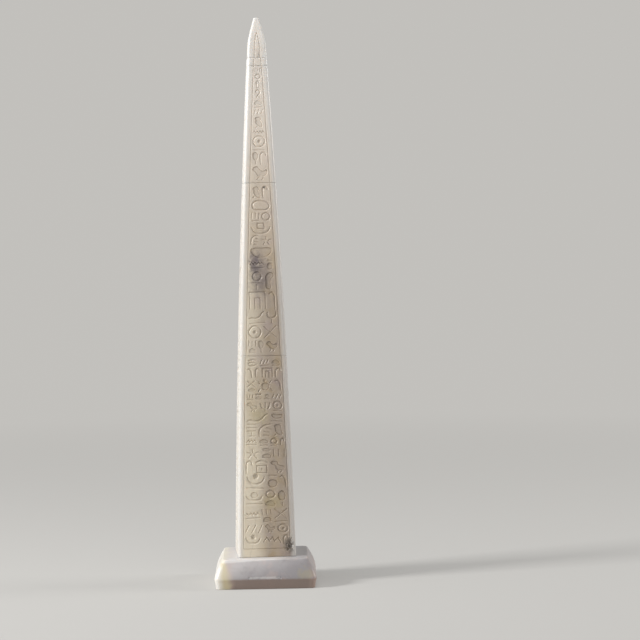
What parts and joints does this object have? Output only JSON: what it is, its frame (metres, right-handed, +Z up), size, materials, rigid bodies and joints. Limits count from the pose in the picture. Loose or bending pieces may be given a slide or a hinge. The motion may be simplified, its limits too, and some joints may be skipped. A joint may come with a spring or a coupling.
{
  "type": "obelisk model",
  "caption": "Slender tapering stone obelisk model of stacked blocks with framed faces, rounded arrises, a pointed pyramidion and a battered square plinth.",
  "frame": {"origin": "middle of the plinth's underside", "axes": "+Z up along the shaft, -Y out of the front face"},
  "size_m": [0.09, 0.09, 0.5],
  "materials": {
    "plinth_stone": "satin",
    "shaft_stone": "satin"
  },
  "bodies": {
    "root": {"plinth": "plinth_stone", "lower_shaft": "shaft_stone", "middle_shaft": "shaft_stone", "upper_shaft": "shaft_stone", "neck_band": "shaft_stone", "pyramidion": "shaft_stone"}
  },
  "joints": []
}
